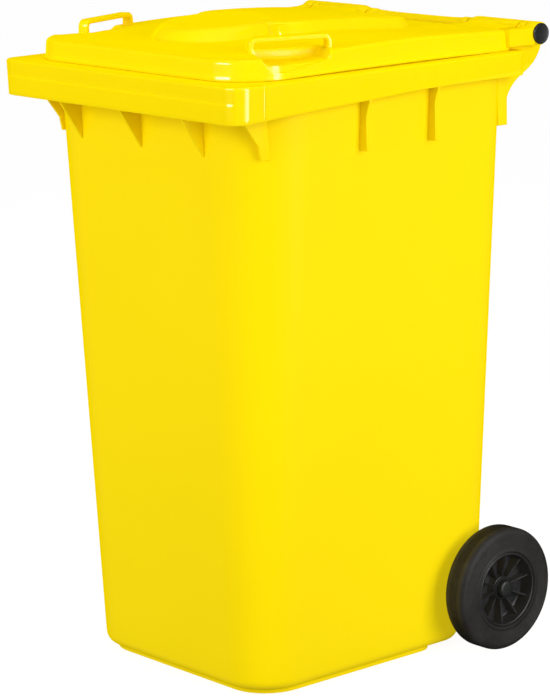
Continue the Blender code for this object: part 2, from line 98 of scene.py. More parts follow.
class Plan:
    """How the points of every rounded-rectangle section are spread round it."""

    def __init__(self, front_corner, rear_corner, side, front, rear):
        self.front_corner = front_corner
        self.rear_corner = rear_corner
        self.side = np.asarray(side, dtype=float)
        self.front = front
        self.rear = rear

    def points(self, half, front, rear, front_radius, rear_radius):
        """Section points, anticlockwise from the right front corner's start, as an (n, 2) array."""
        right_front = arc(half - front_radius, front + front_radius, front_radius, -90, 0,
                          self.front_corner)
        right_rear = arc(half - rear_radius, rear - rear_radius, rear_radius, 0, 90,
                         self.rear_corner)
        low, high = right_front[-1], right_rear[0]
        right = right_front + [(low[0] + (high[0] - low[0]) * t, low[1] + (high[1] - low[1]) * t)
                               for t in self.side] + right_rear
        out = list(right)
        x_end = right_rear[-1][0]
        out += [(x_end * (1 - 2 * t), rear) for t in np.linspace(0, 1, self.rear + 1)[1:-1]]
        out += [(-x, y) for x, y in reversed(right)]
        x_end = right_front[0][0]
        out += [(-x_end * (1 - 2 * t), front) for t in np.linspace(0, 1, self.front + 1)[1:-1]]
        return np.array(out)


def new_object(name, bm):
    """Turn a bmesh into a shown object with smooth faces and creases."""
    mesh = bpy.data.meshes.new(name)
    bm.to_mesh(mesh)
    bm.free()
    thing = bpy.data.objects.new(name, mesh)
    bpy.context.scene.collection.objects.link(thing)
    mesh.shade_smooth()
    mesh.set_sharp_from_angle(angle=CREASE_ANGLE)
    return thing


def add_rows(bm, rows, caps=True, closed=False):
    """Skin a list of (n, 3) point rows, in millimetres."""
    loops = [[bm.verts.new(place(*p)) for p in row] for row in rows]
    pairs = list(zip(loops, loops[1:]))
    if closed:
        pairs.append((loops[-1], loops[0]))
    count = len(loops[0])
    for a, b in pairs:
        for i in range(count):
            j = (i + 1) % count
            bm.faces.new((a[i], a[j], b[j], b[i]))
    if caps and not closed:
        bm.faces.new(loops[0])
        bm.faces.new(loops[-1])


def row(xy, z):
    """Give a section its heights."""
    z = np.broadcast_to(np.asarray(z, dtype=float), (len(xy),))
    return np.column_stack([xy, z])


def prism(points, along, low, high, bevel=0.7, segments=2):
    """A plate: (y, z) points along X, (x, z) along Y or (x, y) along Z, with rounded edges."""
    spot = {
        "X": lambda a, b, t: place(t, a, b),
        "Y": lambda a, b, t: place(a, t, b),
        "Z": lambda a, b, t: place(a, b, t),
    }[along]
    bm = bmesh.new()
    ends = [[bm.verts.new(spot(a, b, t)) for a, b in points] for t in (low, high)]
    for end in ends:
        bm.faces.new(end)
    for i in range(len(points)):
        j = (i + 1) % len(points)
        bm.faces.new((ends[0][i], ends[0][j], ends[1][j], ends[1][i]))
    bmesh.ops.recalc_face_normals(bm, faces=bm.faces)
    if bevel:
        edges = [e for e in bm.edges if e.calc_face_angle(0.0) > 0.35]
        bmesh.ops.bevel(bm, geom=edges, offset=bevel / 1000, segments=segments, profile=0.5,
                        affect="EDGES", clamp_overlap=True)
    return bm


def turned(profile, side, centre, steps=96, closed=False):
    """Turn a (radius, |x|) profile about an axis along X."""
    bm = bmesh.new()
    rings = []
    for radius, x in profile:
        turn = np.arange(steps) * 2 * pi / steps
        rings.append([(side * x, centre[0] + radius * cos(a), centre[1] + radius * sin(a))
                      for a in turn])
    flat_start = profile[0][0] < 0.01
    flat_end = profile[-1][0] < 0.01
    if flat_start:
        rings = rings[1:]
    if flat_end:
        rings = rings[:-1]
    add_rows(bm, rings, caps=False, closed=closed)
    loops = [list(bm.verts)[i * steps:(i + 1) * steps] for i in (0, len(rings) - 1)]
    for flat, loop, spot in ((flat_start, loops[0], profile[0]), (flat_end, loops[1], profile[-1])):
        if flat:
            tip = bm.verts.new(place(side * spot[1], centre[0], centre[1]))
            for i in range(steps):
                bm.faces.new((tip, loop[i], loop[(i + 1) % steps]))
    return bm


def merged(name, parts):
    """Join several bmeshes into one object."""
    whole = bmesh.new()
    for part in parts:
        bmesh.ops.recalc_face_normals(part, faces=part.faces)
        mesh = bpy.data.meshes.new("part")
        part.to_mesh(mesh)
        part.free()
        whole.from_mesh(mesh)
        bpy.data.meshes.remove(mesh)
    return new_object(name, whole)


# ---------------------------------------------------------------- the tub

# The tub's wall low down and high up: z, half width, front, rear, front and rear corner radius.
LOW = np.array((40.0, 220.0, 80.0, 575.0, 80.0, 60.0))
HIGH = np.array((907.0, 266.0, 51.0, 588.0, 109.0, 56.0))
WALL_THICKNESS = 4.5

# The rim's outside, and where its side steps out and its corners and front meet.
RIM_HALF, RIM_REAR, RIM_FRONT_RADIUS, RIM_REAR_RADIUS = 290, 602, 30, 25
RIM_FLAT_HALF = RIM_HALF - RIM_FRONT_RADIUS
RIM_TOP_Z = 960
SIDE_STEP_Y = 57.0

# The ledge's recessed upper panel: its end and lower edge, corner radius, depth and step width.
PANEL_END, PANEL_LOW_Z, PANEL_RADIUS, PANEL_DEPTH, PANEL_STEP = 280.0, 936.0, 5.0, 1.4, 4.0


def wall(z, inset=0.0):
    """The tub's wall sizes at a height, moved inwards by an inset."""
    sizes = LOW + (HIGH - LOW) * (z - LOW[0]) / (HIGH[0] - LOW[0])
    half, front, rear, front_radius, rear_radius = sizes[1:]
    return half - inset, front + inset, rear - inset, front_radius - inset, rear_radius - inset


def stepped(z, rear, radius, inset=0.0):
    """The wall section below the rear step."""
    half, front, _, front_radius, _ = wall(z, inset)
    return half, front, rear - inset, front_radius, max(radius - inset, 1.0)


def skirt_bottom(xy):
    """The rim skirt's lower edge at each point of a section."""
    return ease_curve(xy[:, 1], ((0, 907.6), (30, 908.9), (60, 910.8), (122, 914.2), (220, 918.6),
                                 (282, 921.4), (380, 925.6), (470, 926.6), (602, 925.6)))


def tub_shell():
    """The tub's walls and rim as one skin."""
    side = [0.016, 0.030, 0.040, 0.0455, 0.0478, 0.0490, 0.0502, 0.0514, 0.053, 0.056, 0.062,
            0.075, 0.10]
    plan = Plan(40, 14, side + list(np.linspace(0.15, 0.95, 17)), 24, 12)

    def rim(inset):
        return plan.points(RIM_HALF - inset, inset, RIM_REAR - inset,
                           max(RIM_FRONT_RADIUS - inset, 1.0), max(RIM_REAR_RADIUS - inset, 1.0))

    outward = rim(0.0) - rim(1.0)
    base = rim(0.0)
    across = np.abs(base[:, 0])
    angle = np.degrees(np.arctan2(across - RIM_FLAT_HALF,
                                  np.maximum(RIM_FRONT_RADIUS - base[:, 1], 1e-6)))
    along = np.where(across <= RIM_FLAT_HALF, across,
                     RIM_FLAT_HALF + RIM_FRONT_RADIUS * np.radians(np.clip(angle, 0, 90))
                     + np.maximum(base[:, 1] - RIM_FRONT_RADIUS, 0))
    on_front = base[:, 1] < RIM_FRONT_RADIUS + 1
    side_inset = np.where(base[:, 1] < 320, 1.3 * smooth((angle - 40) / 45), 0.0)
    side_inset *= 1 - smooth((base[:, 1] - SIDE_STEP_Y + 0.6) / 1.2)

    def recess(z):
        """How far the ledge's upper panel is set back at each point."""
        a = PANEL_END - along
        b = np.full_like(a, z - PANEL_LOW_Z)
        r = PANEL_RADIUS
        inner = np.where((a < r) & (b < r), r - np.sqrt((r - a)**2 + (r - b)**2), np.minimum(a, b))
        return np.where(on_front, PANEL_DEPTH * smooth(inner / PANEL_STEP), 0.0)

    def skirt(inset, z):
        """A row round the rim's skirt, which leans in towards its lower edge."""
        zs = np.broadcast_to(np.asarray(z, dtype=float), (len(base),))
        draft = 2.0 * (1 - np.clip((zs - 907) / 55.0, 0, 1))
        level = np.ptp(zs) < 1e-6
        depth = inset + side_inset + draft + (recess(float(zs[0])) if level else 0.0)
        return row(base - outward * depth[:, None], zs)

    bottom = skirt_bottom(base)
    rows = []
    for inset, z in [(16, 8.0), (11.5, 8.6), (7.3, 10.7), (4.0, 13.5), (1.8, 17.2), (0.5, 21.0)]:
        half, front, _, front_radius, _ = wall(z, inset)
        rear = 506 - inset * 1.6
        rows.append(row(plan.points(half, front, rear, front_radius, 14.0), z))
    rows.append(row(plan.points(*stepped(26, 507, 10)), 26))
    rows.append(row(plan.points(*stepped(60, 509.5, 10)), 60))
    rows.append(row(plan.points(*stepped(118, 512, 10)), 118))
    for z, rear, radius in ((123, 513.0, 12), (128, 516.5, 16), (148, 546, 36), (165, 571, 54),
                            (170, 576, 58)):
        rows.append(row(plan.points(*stepped(z, rear, radius)), z))
    for z in (176, 200, 300, 420, 540, 660, 780, 860, 907):
        rows.append(row(plan.points(*wall(z)), z))
    rows.append(row(plan.points(266.5, 50, 583.5, 110, 54.5), 955))
    rows.append(row(plan.points(269, 47.5, 586, 110, 54.5), 959.5))
    rows.append(skirt(4.5, 959.5))
    rows.append(skirt(4.5, bottom + 1.0))
    rows.append(skirt(4.1, bottom + 0.2))
    rows.append(skirt(3.4, bottom))
    rows.append(skirt(1.3, bottom))
    rows.append(skirt(0.4, bottom + 0.3))
    rows.append(skirt(0.0, bottom + 1.3))
    for share in (0.3, 0.6, 0.85):
        rows.append(skirt(0.0, bottom + (933 - bottom) * share))
    for z in (933.0, 935.0, 936.0, 936.5, 937.0, 937.5, 938.0, 938.5, 939.0, 939.6, 940.3, 941.0,
              942.5, 945, 950, 956, RIM_TOP_Z):
        rows.append(skirt(0.0, z))
    for inset, rise in ((0.25, 1.3), (0.9, 2.5), (1.8, 3.3), (2.8, 3.8), (4.0, 4.0)):
        rows.append(skirt(inset, RIM_TOP_Z + rise))
    lip = (262.5, 50.0, 579.0, 106.0, 50.0)

    def lip_row(inset, z):
        """A row round the upright lip inside the rim, which the lid closes over."""
        return row(plan.points(lip[0] - inset, lip[1] + inset, lip[2] - inset, lip[3] - inset,
                               lip[4] - inset), z)

    for inset, z in ((-2.5, 964), (-1.2, 964.3), (-0.3, 965.2), (0, 966.5), (0, 970.3),
                     (0.5, 971.5), (1.7, 972), (3.2, 972), (4.2, 971.5), (4.5, 970.3), (4.7, 955)):
        rows.append(lip_row(inset, z))
    for z in (905, 700, 400, 182):
        rows.append(row(plan.points(*wall(z, WALL_THICKNESS)), z))
    for z, rear, radius in ((168, 570.5, 50), (128, 513, 14), (60, 509.5, 12), (32, 508, 12)):
        rows.append(row(plan.points(*stepped(z, rear, radius, WALL_THICKNESS)), z))
    half, front, _, front_radius, _ = wall(14, 12)
    rows.append(row(plan.points(half, front, 488, front_radius, 12), 13))
    bm = bmesh.new()
    add_rows(bm, rows)
    return bm


def foot_ring():
    """The ring the bin stands on."""
    plan = Plan(16, 10, np.linspace(0.1, 0.9, 9), 10, 10)
    rows = []
    for inset, z in ((1.2, 0.0), (0.3, 0.4), (0, 1.2), (0, 11), (10, 11), (10, 1.2), (9.7, 0.4),
                     (8.8, 0.0)):
        xy = plan.points(203 - inset, 97.6 + inset, 468 - inset, 68 - inset, 34 - inset)
        rows.append(row(xy, z))
    bm = bmesh.new()
    add_rows(bm, rows, closed=True)
    return bm


def gussets():
    """The ledge's gussets, the corner gussets and the side ribs."""
    parts = []
    face = ((3.5, 958), (3.5, 912), (9.5, 909.0), (51.5, 845.5), (55.5, 845), (53.0, 958))
    for centre in (-149.5, -0.5, 148.5):
        parts.append(prism(face, "X", centre - 2.5, centre + 2.5, 0.6))
    corner = ((13, 957), (13, 942), (48, 908.5), (80, 866.5), (84.5, 845), (101.5, 845),
              (95.1, 957))
    for side in (-1, 1):
        low, high = sorted((side * 240.0, side * 245.0))
        parts.append(prism(corner, "X", low, high, 0.6))
    for distance, rim_z in ((263.0, 919.0), (405.0, 925.0)):
        curve = [(279.9, 842.0), (279.4, 868), (279.0, rim_z - 26), (280.6, rim_z - 17),
                 (284, rim_z - 8), (287.2, rim_z - 1)]
        reach = [(260.5, 842.0)] + curve + [(287.2, rim_z + 14), (263.4, rim_z + 14)]
        for side in (-1, 1):
            rib = [(side * x, z) for x, z in reach]
            parts.append(prism(rib, "Y", distance, distance + 5.0, 0.6))
    return parts


def ear_outline(root, face, radius):
    """The side view of a hinge ear with its flaring rib."""
    boss = arc(AXIS[0], AXIS[1], radius, -18, 160, 22)
    foot = [(root, 845.0), (face, 845.0), (face, 888.0), (face + 3.5, 895.5), (face + 9, 902.5),
            (face + 19, 912.5)]
    flare = [(617, 919.2), (628, 925.2), (639, 931.6), (648, 938.6), (655, 946.6), (660.5, 955),
             (664, 963.5), (665.6, 972)]
    front = [(619, 982), (605, 975.5), (594, 970.5), (589.5, 966.5), (588.5, 962), (root, 962)]
    return foot + flare + boss + front


def ears_and_handle():
    """The hinge ears, the inner brackets and the handle bar between them."""
    parts = []
    for side in (-1, 1):
        low, high = sorted((side * 238.2, side * 252.3))
        parts.append(prism(ear_outline(567.5, 588.0, 18.4), "X", low, high, 1.2, 3))
        low, high = sorted((side * 104.2, side * 117.8))
        parts.append(prism(ear_outline(582.8, 599.0, 15.2), "X", low, high, 1.2, 3))
    half_bar = [(12.5, 45.0), (12.8, 70.0), (13.4, 90.0), (14.2, 106.0)]
    bar = [(radius, -x) for radius, x in reversed(half_bar)] + half_bar
    parts.append(turned(bar, 1, AXIS, 64))
    return parts


def axle_seats():
    """The plates that carry the axle under the rear step."""
    outline = [(505.5, 40), (520, 40), (566, 78), (570.5, 88), (571.8, 100), (571, 120),
               (566, 163), (509, 127)]
    parts = []
    for low, high in ((203.0, 217.0), (70.0, 80.0)):
        for side in (-1, 1):
            a, b = sorted((side * low, side * high))
            parts.append(prism(outline, "X", a, b, 1.0))
    return parts


# ---------------------------------------------------------------- the lid

# The grip's two ends in plan, and its unit directions along it and outwards across it.
GRIP_FRONT = np.array((202.5, 106.7))
GRIP_REAR = np.array((240.0, 218.0))
GRIP_LENGTH = float(np.linalg.norm(GRIP_REAR - GRIP_FRONT))
ALONG = (GRIP_REAR - GRIP_FRONT) / GRIP_LENGTH
OUTWARD = np.array((ALONG[1], -ALONG[0]))


def edge_height(y):
    """The height of the top of the lid's skirt along its side."""
    return ease_curve(y, ((32, 996.3), (117, 997.6), (250, 1001.2), (330, 1003.2), (400, 1003.0),
                          (450, 1001.6), (500, 999.8), (560, 997.6), (590, 996.6)))


def plate_height(y):
    """The height of the lid's plate along its middle."""
    return ease_curve(y, ((32, 996.6), (60, 998.4), (100, 1001.6), (140, 1003.2), (200, 1006.2),
                          (270, 1009.0), (357, 1006.4), (465, 999.2), (520, 996.8), (590, 996.6)))


def pocket_height(x, y):
    """The height of the surface of the finger pockets, far above the lid away from them."""
    side = np.abs(x)
    s = (side - GRIP_FRONT[0]) * ALONG[0] + (y - GRIP_FRONT[1]) * ALONG[1]
    t = (side - GRIP_FRONT[0]) * OUTWARD[0] + (y - GRIP_FRONT[1]) * OUTWARD[1]
    outer = ease_curve(s, ((-20, 1040), (-14, 1015), (-9, 1001), (-5, 992), (1.6, 983.5),
                           (12, 977.3), (25, 974.8), (40, 975.2), (57, 978), (76, 980.5),
                           (94.5, 983), (112, 986.5), (120, 992), (126, 1001), (132, 1015),
                           (138, 1040)))
    inner = ease_curve(s, ((-14, 1040), (-8, 1015), (-3, 1001), (1, 992), (6, 988), (14, 986.6),
                           (28, 986.5), (92, 986.5), (103, 988.3), (110, 993), (115, 1002),
                           (120, 1016), (126, 1040)))
    share = np.clip(t / 58.0, 0.0, 1.0)
    wall_rise = smooth((-10.0 - t) / 10.0) * 26 + np.maximum(-20.0 - t, 0) * 3
    return inner * (1 - share) + outer * share + wall_rise


def soft_min(a, b, k):
    """The lower of two heights, with a rounded edge of about k where they cross."""
    h = np.clip(0.5 + 0.5 * (b - a) / k, 0, 1)
    return b + (a - b) * h - k * h * (1 - h)


def disc_height(xy):
    """The height of the round part's outside over the lid's plan, low away from it."""
    away = np.hypot(xy[:, 0], xy[:, 1] - DISC_Y)
    top = ease_curve(away, ((0, 1022), (76, 1022), (84, 1020), (92, 1012), (98, 1001), (106, 980),
                            (400, 980)))
    return top + DISC_LEAN * (xy[:, 1] - DISC_Y) * smooth((110 - away) / 20)


def panel_height(xy):
    """The height of the rear panel's outside over the lid's plan, low away from it."""
    reach = np.minimum(119 - np.abs(xy[:, 0]), np.minimum(xy[:, 1] - 234, 507 - xy[:, 1]))
    top = REAR_PANEL_TOP - 0.062 * np.maximum(xy[:, 1] - 300, 0)
    return top - 40 * (1 - smooth((reach + 2.0) / 9.0))


def lid_shell():
    """The lid's skirt and plate, with the finger pockets pressed in."""
    dense = np.linspace(0.0, 0.29, 100)[1:]
    plan = Plan(66, 12, list(dense) + list(np.linspace(0.29, 1.0, 36)[1:-1]), 40, 40)

    def section(inset):
        """The lid's outline in plan, moved inwards by an inset."""
        return plan.points(269 - inset, 32 + inset, 586 - inset, max(85 - inset, 1),
                           max(15 - inset, 1))

    crown = plan.points(60, 150, 450, 40, 25)
    rows = []
    sill = 964.4
    base = section(0.0)
    arch = 1.8 * smooth((base[:, 1] - 60) / 200) * (1 - smooth((base[:, 1] - 380) / 190))
    arch *= (np.abs(base[:, 0]) > 240)
    inner = section(9.0)
    thread = plan.points(2.0, 200, 400, 1.0, 1.0)
    for share in np.linspace(1.0, 0.0, 56):
        xy = inner + (thread - inner) * share
        raised = np.maximum(disc_height(xy), panel_height(xy))
        lower = np.maximum(plate_height(xy[:, 1]), raised) - 4.0
        edge = edge_height(xy[:, 1]) - 5.0
        near = smooth(share * 5.0)
        z = edge * (1 - near) + lower * near
        rows.append(row(xy, soft_min(z, pocket_height(xy[:, 0], xy[:, 1]) - 3.5, 3.0)))
    for inset, z in ((7.6, 985), (6.6, 972), (5.6, 968), (4.4, sill + 1.6), (3.6, sill + 0.3),
                     (2.6, sill), (0.8, sill), (0.2, sill + 0.5), (0, sill + 1.4),
                     (0.5, sill + 3.6), (1.2, sill + 5.6), (1.8, sill + 7.6), (2.0, sill + 9.4),
                     (2.1, 976.5), (2.3, 979), (2.5, 981.5), (2.7, 984), (2.9, 986.5)):
        rows.append(row(section(inset), z + arch * (z < 975)))
    first_outer = len(rows) - 9  # the pockets are pressed into the skirt's outside from this row up
    top = edge_height(base[:, 1])
    edge_radius, edge_inset, edge_steps = 8.5, 3.0, 10
    for step in range(1, edge_steps + 1):
        a = radians(90 * step / edge_steps)
        inset = edge_inset + edge_radius * (1 - cos(a))
        z = top - edge_radius + edge_radius * sin(a)
        rows.append(row(section(inset), z))
    start = section(edge_inset + edge_radius)
    for share in list(np.linspace(0, 0.42, 66)[1:]) + list(np.linspace(0.42, 1, 30)[1:]):
        xy = start + (crown - start) * share
        gap = np.linalg.norm(xy - start, axis=1)
        blend = smooth(gap / (45.0 + 65.0 * smooth((xy[:, 1] - 60) / 120)))
        z = edge_height(xy[:, 1]) * (1 - blend) + plate_height(xy[:, 1]) * blend
        rows.append(row(xy, z))
    for r in rows[first_outer:]:
        r[:, 2] = soft_min(r[:, 2], pocket_height(r[:, 0], r[:, 1]), 3.5)
    bm = bmesh.new()
    add_rows(bm, rows)
    return bm


def disc_part():
    """The round raised part with its dished top, leaning up towards the rear."""
    profile = [(116, 998.4), (109, 1000.2), (104.5, 1001.6), (101.5, 1003.0), (99.4, 1005.0),
               (97.6, 1007.8), (95.6, 1011.4), (93.2, 1015.4), (90.4, 1019.4), (87.2, 1022.8),
               (83.2, 1025.6), (79, 1027.0), (75, 1027.6), (70.5, 1027.6), (67.5, 1027.1),
               (63.5, 1026.6), (57, 1026.3), (42, 1026.2), (20, 1026.2), (8, 1026.2)]
    steps = 144
    bm = bmesh.new()
    rows = []
    turn = np.arange(steps) * 2 * pi / steps
    for r, z in profile:
        lean = DISC_LEAN * np.clip((z - 1003) / 22.0, 0, 1)
        rows.append([(r * cos(a), DISC_Y + r * sin(a), z + lean * r * sin(a)) for a in turn])
    add_rows(bm, rows)
    return bm


def panel_part():
    """The raised panel behind the disc, falling towards the rear."""
    plan = Plan(14, 20, np.linspace(0.03, 0.97, 30), 12, 12)
    rows = []
    full_drop = 30.0
    edge = ((13, full_drop), (9.5, 27.4), (7.2, 24.6), (5.2, 20.5), (3.2, 15.5), (1.2, 10),
            (-0.4, 6.0), (-2.2, 3.0), (-4.6, 1.2), (-7.5, 0.3))
    inside = tuple((outset, 0.0) for outset in (-10, -22, -36, -52, -70, -88, -104, -116))
    for outset, drop in edge + inside:
        front_radius, rear_radius = max(62 + outset, 3), max(30 + outset, 3)
        xy = plan.points(121 + outset, 232 - outset, 509 + outset, front_radius, rear_radius)
        top = ease_curve(xy[:, 1], ((200, REAR_PANEL_TOP), (300, REAR_PANEL_TOP), (351, 1025.0),
                                    (420, 1021.0), (479, 1015.8), (510, 1012.8), (530, 1011)))
        foot = plate_height(xy[:, 1]) - 2.5
        share = drop / full_drop
        z = top * (1 - share) + foot * share
        rows.append(row(xy, z))
    bm = bmesh.new()
    add_rows(bm, rows)
    return bm


def grip(side):
    """A strap bar with rounded ends standing over its pocket."""
    bar_z, corner, post, foot = 1018.3, 9.0, 8.5, 990.0
    length = GRIP_LENGTH
    path = [(-post / 2, foot), (-post / 2, 1002)]
    path += [(corner - post / 2 + corner * cos(a), bar_z - corner + corner * sin(a))
             for a in np.radians(np.linspace(180, 90, 9))]
    path += [(s, bar_z) for s in np.linspace(corner * 1.4, length - corner * 1.4, 12)]
    path += [(length - corner + post / 2 + corner * cos(a), bar_z - corner + corner * sin(a))
             for a in np.radians(np.linspace(90, 0, 9))]
    path += [(length + post / 2, 1002), (length + post / 2, foot)]
    path = np.array(path)
    tangent = np.gradient(path, axis=0)
    tangent /= np.linalg.norm(tangent, axis=1)[:, None]
    normal = np.column_stack([-tangent[:, 1], tangent[:, 0]])
    half_w, half_t, r = 8.5, 3.7, 1.8
    shape = []
    for cx, cy, start in ((half_w - r, half_t - r, 0), (r - half_w, half_t - r, 90),
                          (r - half_w, r - half_t, 180), (half_w - r, r - half_t, 270)):
        shape += arc(cx, cy, r, start, start + 90, 5)
    rows = []
    for (s, z), n in zip(path, normal):
        ring = []
        wide = 1.0 + 0.25 * float(smooth((1004 - z) / 12))
        for across, thick in shape:
            spot = GRIP_FRONT + ALONG * (s + n[0] * thick) + OUTWARD * across * wide
            ring.append((side * spot[0], spot[1], z + n[1] * thick))
        rows.append(ring)
    bm = bmesh.new()
    add_rows(bm, rows)
    return bm


# The boss radius of a hinge arm and a hinge barrel at points along X.
BOSS_RADIUS = 18.5
ARM_ENDS = ((254.2, 17.4), (254.5, 18.0), (255.2, 18.4), (264.0, BOSS_RADIUS), (272.8, BOSS_RADIUS),
            (273.8, 18.2), (274.4, 17.5))
BARREL_ENDS = ((121.2, 13.6), (121.6, 14.5), (122.6, 15.2), (127.0, 16.5), (133.5, 18.1),
               (137.0, BOSS_RADIUS), (235.2, BOSS_RADIUS), (236.0, 18.2), (236.3, 17.6))


def hinge_part(side, ends, root, low_z):
    """A hinge arm or barrel with its boss on the axis, its radius given at points along X."""
    rows = []
    for x, radius in ends:
        boss = arc(AXIS[0], AXIS[1], radius, -128, 136, 44)
        drop = BOSS_RADIUS - radius
        top = [(622.5, 998.4 - drop), (617, 997.0 - drop * 0.7), (610, 996.4 - drop * 0.4),
               (588, 996.3 - drop * 0.3), (root, 995.8 - drop * 0.3)]
        rise = drop * 0.3
        under = [(root, low_z + rise), (600, low_z + rise), (616, low_z - 1.0 + rise),
                 (624, low_z - 1.8 + rise)]
        rows.append([(side * x, y, z) for y, z in under + boss + top])
    bm = bmesh.new()
    add_rows(bm, rows)
    return bm


def lid_parts():
    """Everything moulded on the lid."""
    parts = [lid_shell(), disc_part(), panel_part()]
    for side in (-1, 1):
        parts.append(grip(side))
        parts.append(hinge_part(side, ARM_ENDS, 572.0, 970.5))
        parts.append(hinge_part(side, BARREL_ENDS, 584.0, 974.0))
    return parts


# ---------------------------------------------------------------- pins and wheels


def pin_profile():
    """A hinge pin with a rounded, slightly dished head."""
    head = 274.7
    return [(0, head + 2.7), (13.4, head + 2.7), (14.0, head + 2.9), (14.6, head + 3.2),
            (15.4, head + 3.3), (16.0, head + 3.0), (16.4, head + 2.3), (16.6, head + 1.4),
            (16.6, head), (8, head), (8, 152), (6, 150), (0, 150)]


def tyre_profile():
    """A solid tyre: bead lip, ribbed sidewall, rounded shoulder and grooved tread."""
    middle_x = 268.5
    out = [(61.2, 289.8), (61.5, 291.6), (62.4, 292.7), (63.8, 293.0), (65.2, 292.7), (66.4, 291.7),
           (67.8, 290.8), (69.4, 290.4)]
    for r in np.arange(71.0, 88.5, 2.9):
        out += [(r, 290.7), (r + 0.9, 290.1), (r + 1.3, 290.1), (r + 2.2, 290.7)]
    out += arc(91.0, 281.0, 9.0, 78, 6, 10)
    for x in np.arange(277.0, 260.0, -4.2):
        out += [(100.0, x), (99.3, x - 0.5), (99.3, x - 1.0), (100.0, x - 1.5)]
    return out + [(r, 2 * middle_x - x) for r, x in reversed(out)]


def rim_parts(side):
    """The wheel centre: flange, dished web, hub and deep tapered spokes."""
    drum = 60.8
    face = [(56.2, 288.6), (56.6, 290.4), (57.6, 291.1), (59.4, 291.2), (60.4, 290.6),
            (drum, 289.4), (drum, 246.0), (60.0, 244.6), (57.5, 244.4), (56.5, 246.0),
            (55.0, 262.5), (22.0, 262.5), (20.5, 258), (20.0, 219.8), (10.4, 219.8), (10.4, 279.4),
            (18.0, 279.4), (19.4, 278.4), (20.2, 274), (22.5, 267.0), (52.0, 265.8), (54.6, 267.5),
            (55.4, 271)]
    spoke = [(16, 256), (56, 250), (57.4, 252), (57.2, 284.2), (50, 283.2), (24, 278.6),
             (16, 278.6)]
    spokes, first_turn, half_thickness = 10, 0.35, 1.2
    parts = [turned(face, side, WHEEL, 120, closed=True)]
    for number in range(spokes):
        turn = 2 * pi * (number + first_turn) / spokes
        bm = prism([(WHEEL[0] + r, x) for r, x in spoke], "Z", WHEEL[1] - half_thickness,
                   WHEEL[1] + half_thickness, 0.4, 2)
        for vert in bm.verts:
            px, py, pz = vert.co
            radial = px * 1000 - WHEEL[0]
            depth = py * 1000 + DEPTH / 2
            across = pz * 1000 - WHEEL[1]
            y = WHEEL[0] + radial * cos(turn) - across * sin(turn)
            z = WHEEL[1] + radial * sin(turn) + across * cos(turn)
            vert.co = place(side * depth, y, z)
        parts.append(bm)
    return parts


def axle_cap_profile():
    """A pressed cap with a flat face."""
    low = 281.6
    return [(0, 290.9), (9.5, 290.9), (11.8, 290.6), (13.4, 289.7), (14.4, 288.2), (14.9, 286),
            (15.2, low), (13.9, low), (13.9, 285), (12.5, 286.8), (0, 286.8)]


# ---------------------------------------------------------------- materials


class Paint:
    """A procedural material, its nodes added one by one."""

    def __init__(self, name):
        self.material = bpy.data.materials.new(name)
        self.material.use_nodes = True
        self.tree = self.material.node_tree
        self.shader = self.tree.nodes["Principled BSDF"]
        self.coords = self.add("ShaderNodeTexCoord")

    def add(self, kind, **settings):
        node = self.tree.nodes.new(kind)
        for key, value in settings.items():
            if key in node.inputs:
                node.inputs[key].default_value = value
            else:
                setattr(node, key.lower(), value)
        return node

    def link(self, a, b):
        self.tree.links.new(a, b)

    def noise(self, scale, detail=2.0, rough=0.5):
        node = self.add("ShaderNodeTexNoise", Scale=scale, Detail=detail, Roughness=rough)
        self.link(self.coords.outputs["Object"], node.inputs["Vector"])
        return node.outputs["Fac"]

    def ramp(self, value, low, high, out_low, out_high):
        node = self.add("ShaderNodeMapRange")
        for key, number in (("From Min", low), ("From Max", high), ("To Min", out_low),
                            ("To Max", out_high)):
            node.inputs[key].default_value = number
        self.link(value, node.inputs["Value"])
        return node.outputs["Result"]

    def mix(self, factor, first, second):
        node = self.add("ShaderNodeMix", data_type="RGBA")
        self.link(factor, node.inputs["Factor"])
        for socket, value in ((node.inputs[6], first), (node.inputs[7], second)):
            if isinstance(value, tuple):
                socket.default_value = (*value, 1.0)
            else:
                self.link(value, socket)
        return node.outputs[2]

    def bump(self, height, strength, distance, below=None):
        node = self.add("ShaderNodeBump", Strength=strength, Distance=distance)
        self.link(height, node.inputs["Height"])
        if below is not None:
            self.link(below, node.inputs["Normal"])
        return node.outputs["Normal"]


def polished(p, place_z):
    """1 on the polished rim and lid, 0 on the walls under the skirt, which rises rearwards."""
    lift = p.add("ShaderNodeMath", operation="MULTIPLY_ADD")
    lift.inputs[1].default_value = -POLISH_RISE
    p.link(place_z.outputs["Y"], lift.inputs[0])
    p.link(place_z.outputs["Z"], lift.inputs[2])
    return p.ramp(lift.outputs[0], POLISH_START, POLISH_FULL, 0.0, 1.0)


